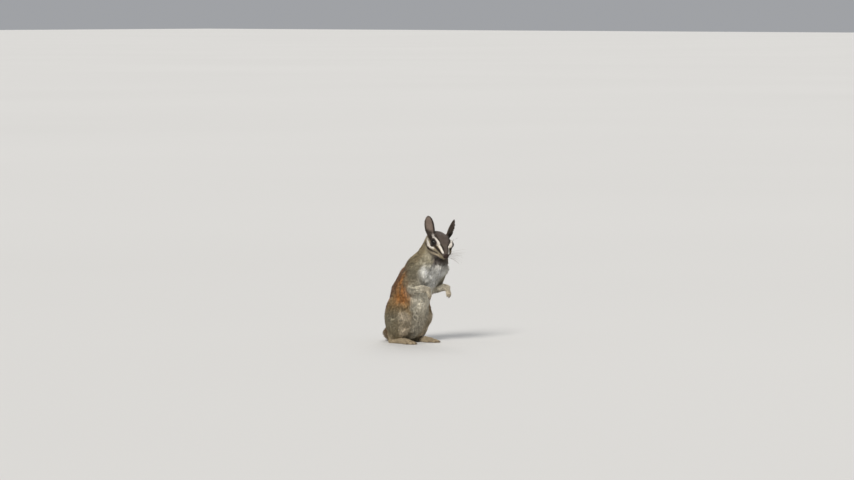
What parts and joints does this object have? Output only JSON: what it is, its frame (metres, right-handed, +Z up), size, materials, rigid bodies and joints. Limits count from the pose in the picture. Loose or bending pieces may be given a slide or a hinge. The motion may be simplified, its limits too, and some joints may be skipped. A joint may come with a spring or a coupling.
{
  "type": "chipmunk",
  "caption": "Small striped chipmunk standing upright on its hind feet, forepaws held out, tail laid behind, as a still life-size museum model.",
  "frame": {"origin": "centre of the bounding box's base, on the floor the feet stand on", "axes": "+Z up, the chest faces -Y, the animal's left is +X"},
  "size_m": [0.0917, 0.1147, 0.1117],
  "materials": {
    "coat": "short dense fur, matte",
    "paw": "thin-haired skin, matte",
    "eye": "wet gloss"
  },
  "bodies": {
    "root": {"head": "coat", "neck": "coat", "trunk_chest": "coat", "trunk_hips": "coat", "ear_left": "coat", "ear_right": "coat", "eye_left": "eye", "eye_right": "eye", "upper_arm_left": "coat", "upper_arm_right": "coat", "forearm_left": "coat", "forearm_right": "coat", "fore_paw_left": "paw", "fore_paw_right": "paw", "hind_leg_left": "coat", "hind_leg_right": "coat", "hind_foot_left": "paw", "hind_foot_right": "paw", "tail_base": "coat", "tail_middle": "coat", "tail_tip": "coat"}
  },
  "joints": []
}
